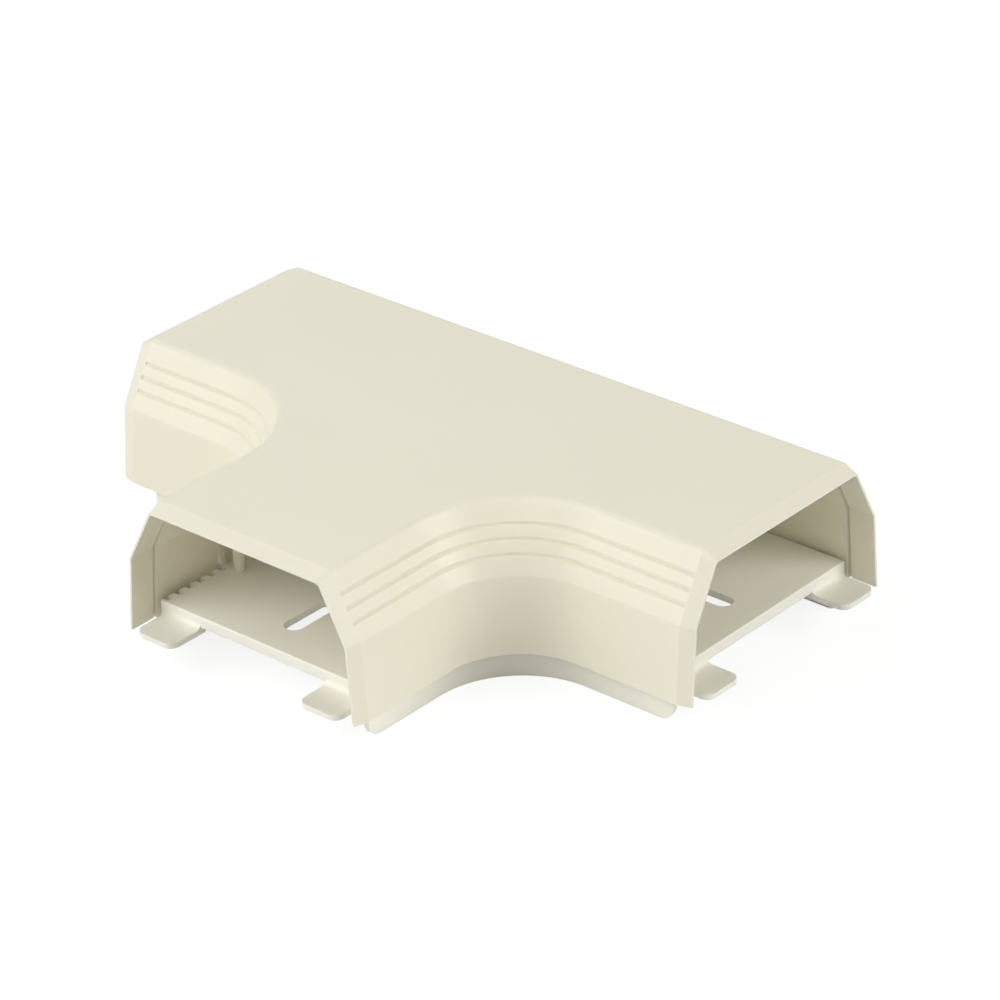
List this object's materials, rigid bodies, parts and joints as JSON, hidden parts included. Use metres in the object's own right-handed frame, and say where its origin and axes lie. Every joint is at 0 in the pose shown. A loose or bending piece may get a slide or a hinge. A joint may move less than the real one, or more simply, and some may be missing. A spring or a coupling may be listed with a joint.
{
  "type": "trunking tee fitting",
  "caption": "Wall-mounted tee fitting for surface cable trunking: a clip-on cover with tapered grooved shoulders and rounded inner corners over a slotted base tray with end tongues.",
  "frame": {"origin": "point on the wall plane where the centre lines of the straight bar and of the branch cross", "axes": "+X along the straight bar, -Y along the branch, +Z out from the wall, so the wall is the plane z = 0"},
  "size_m": [0.2774, 0.1917, 0.066],
  "materials": {
    "cover": "satin ivory moulding",
    "base": "satin ivory moulding"
  },
  "bodies": {
    "root": {"cover": "cover", "base": "base"}
  },
  "joints": []
}
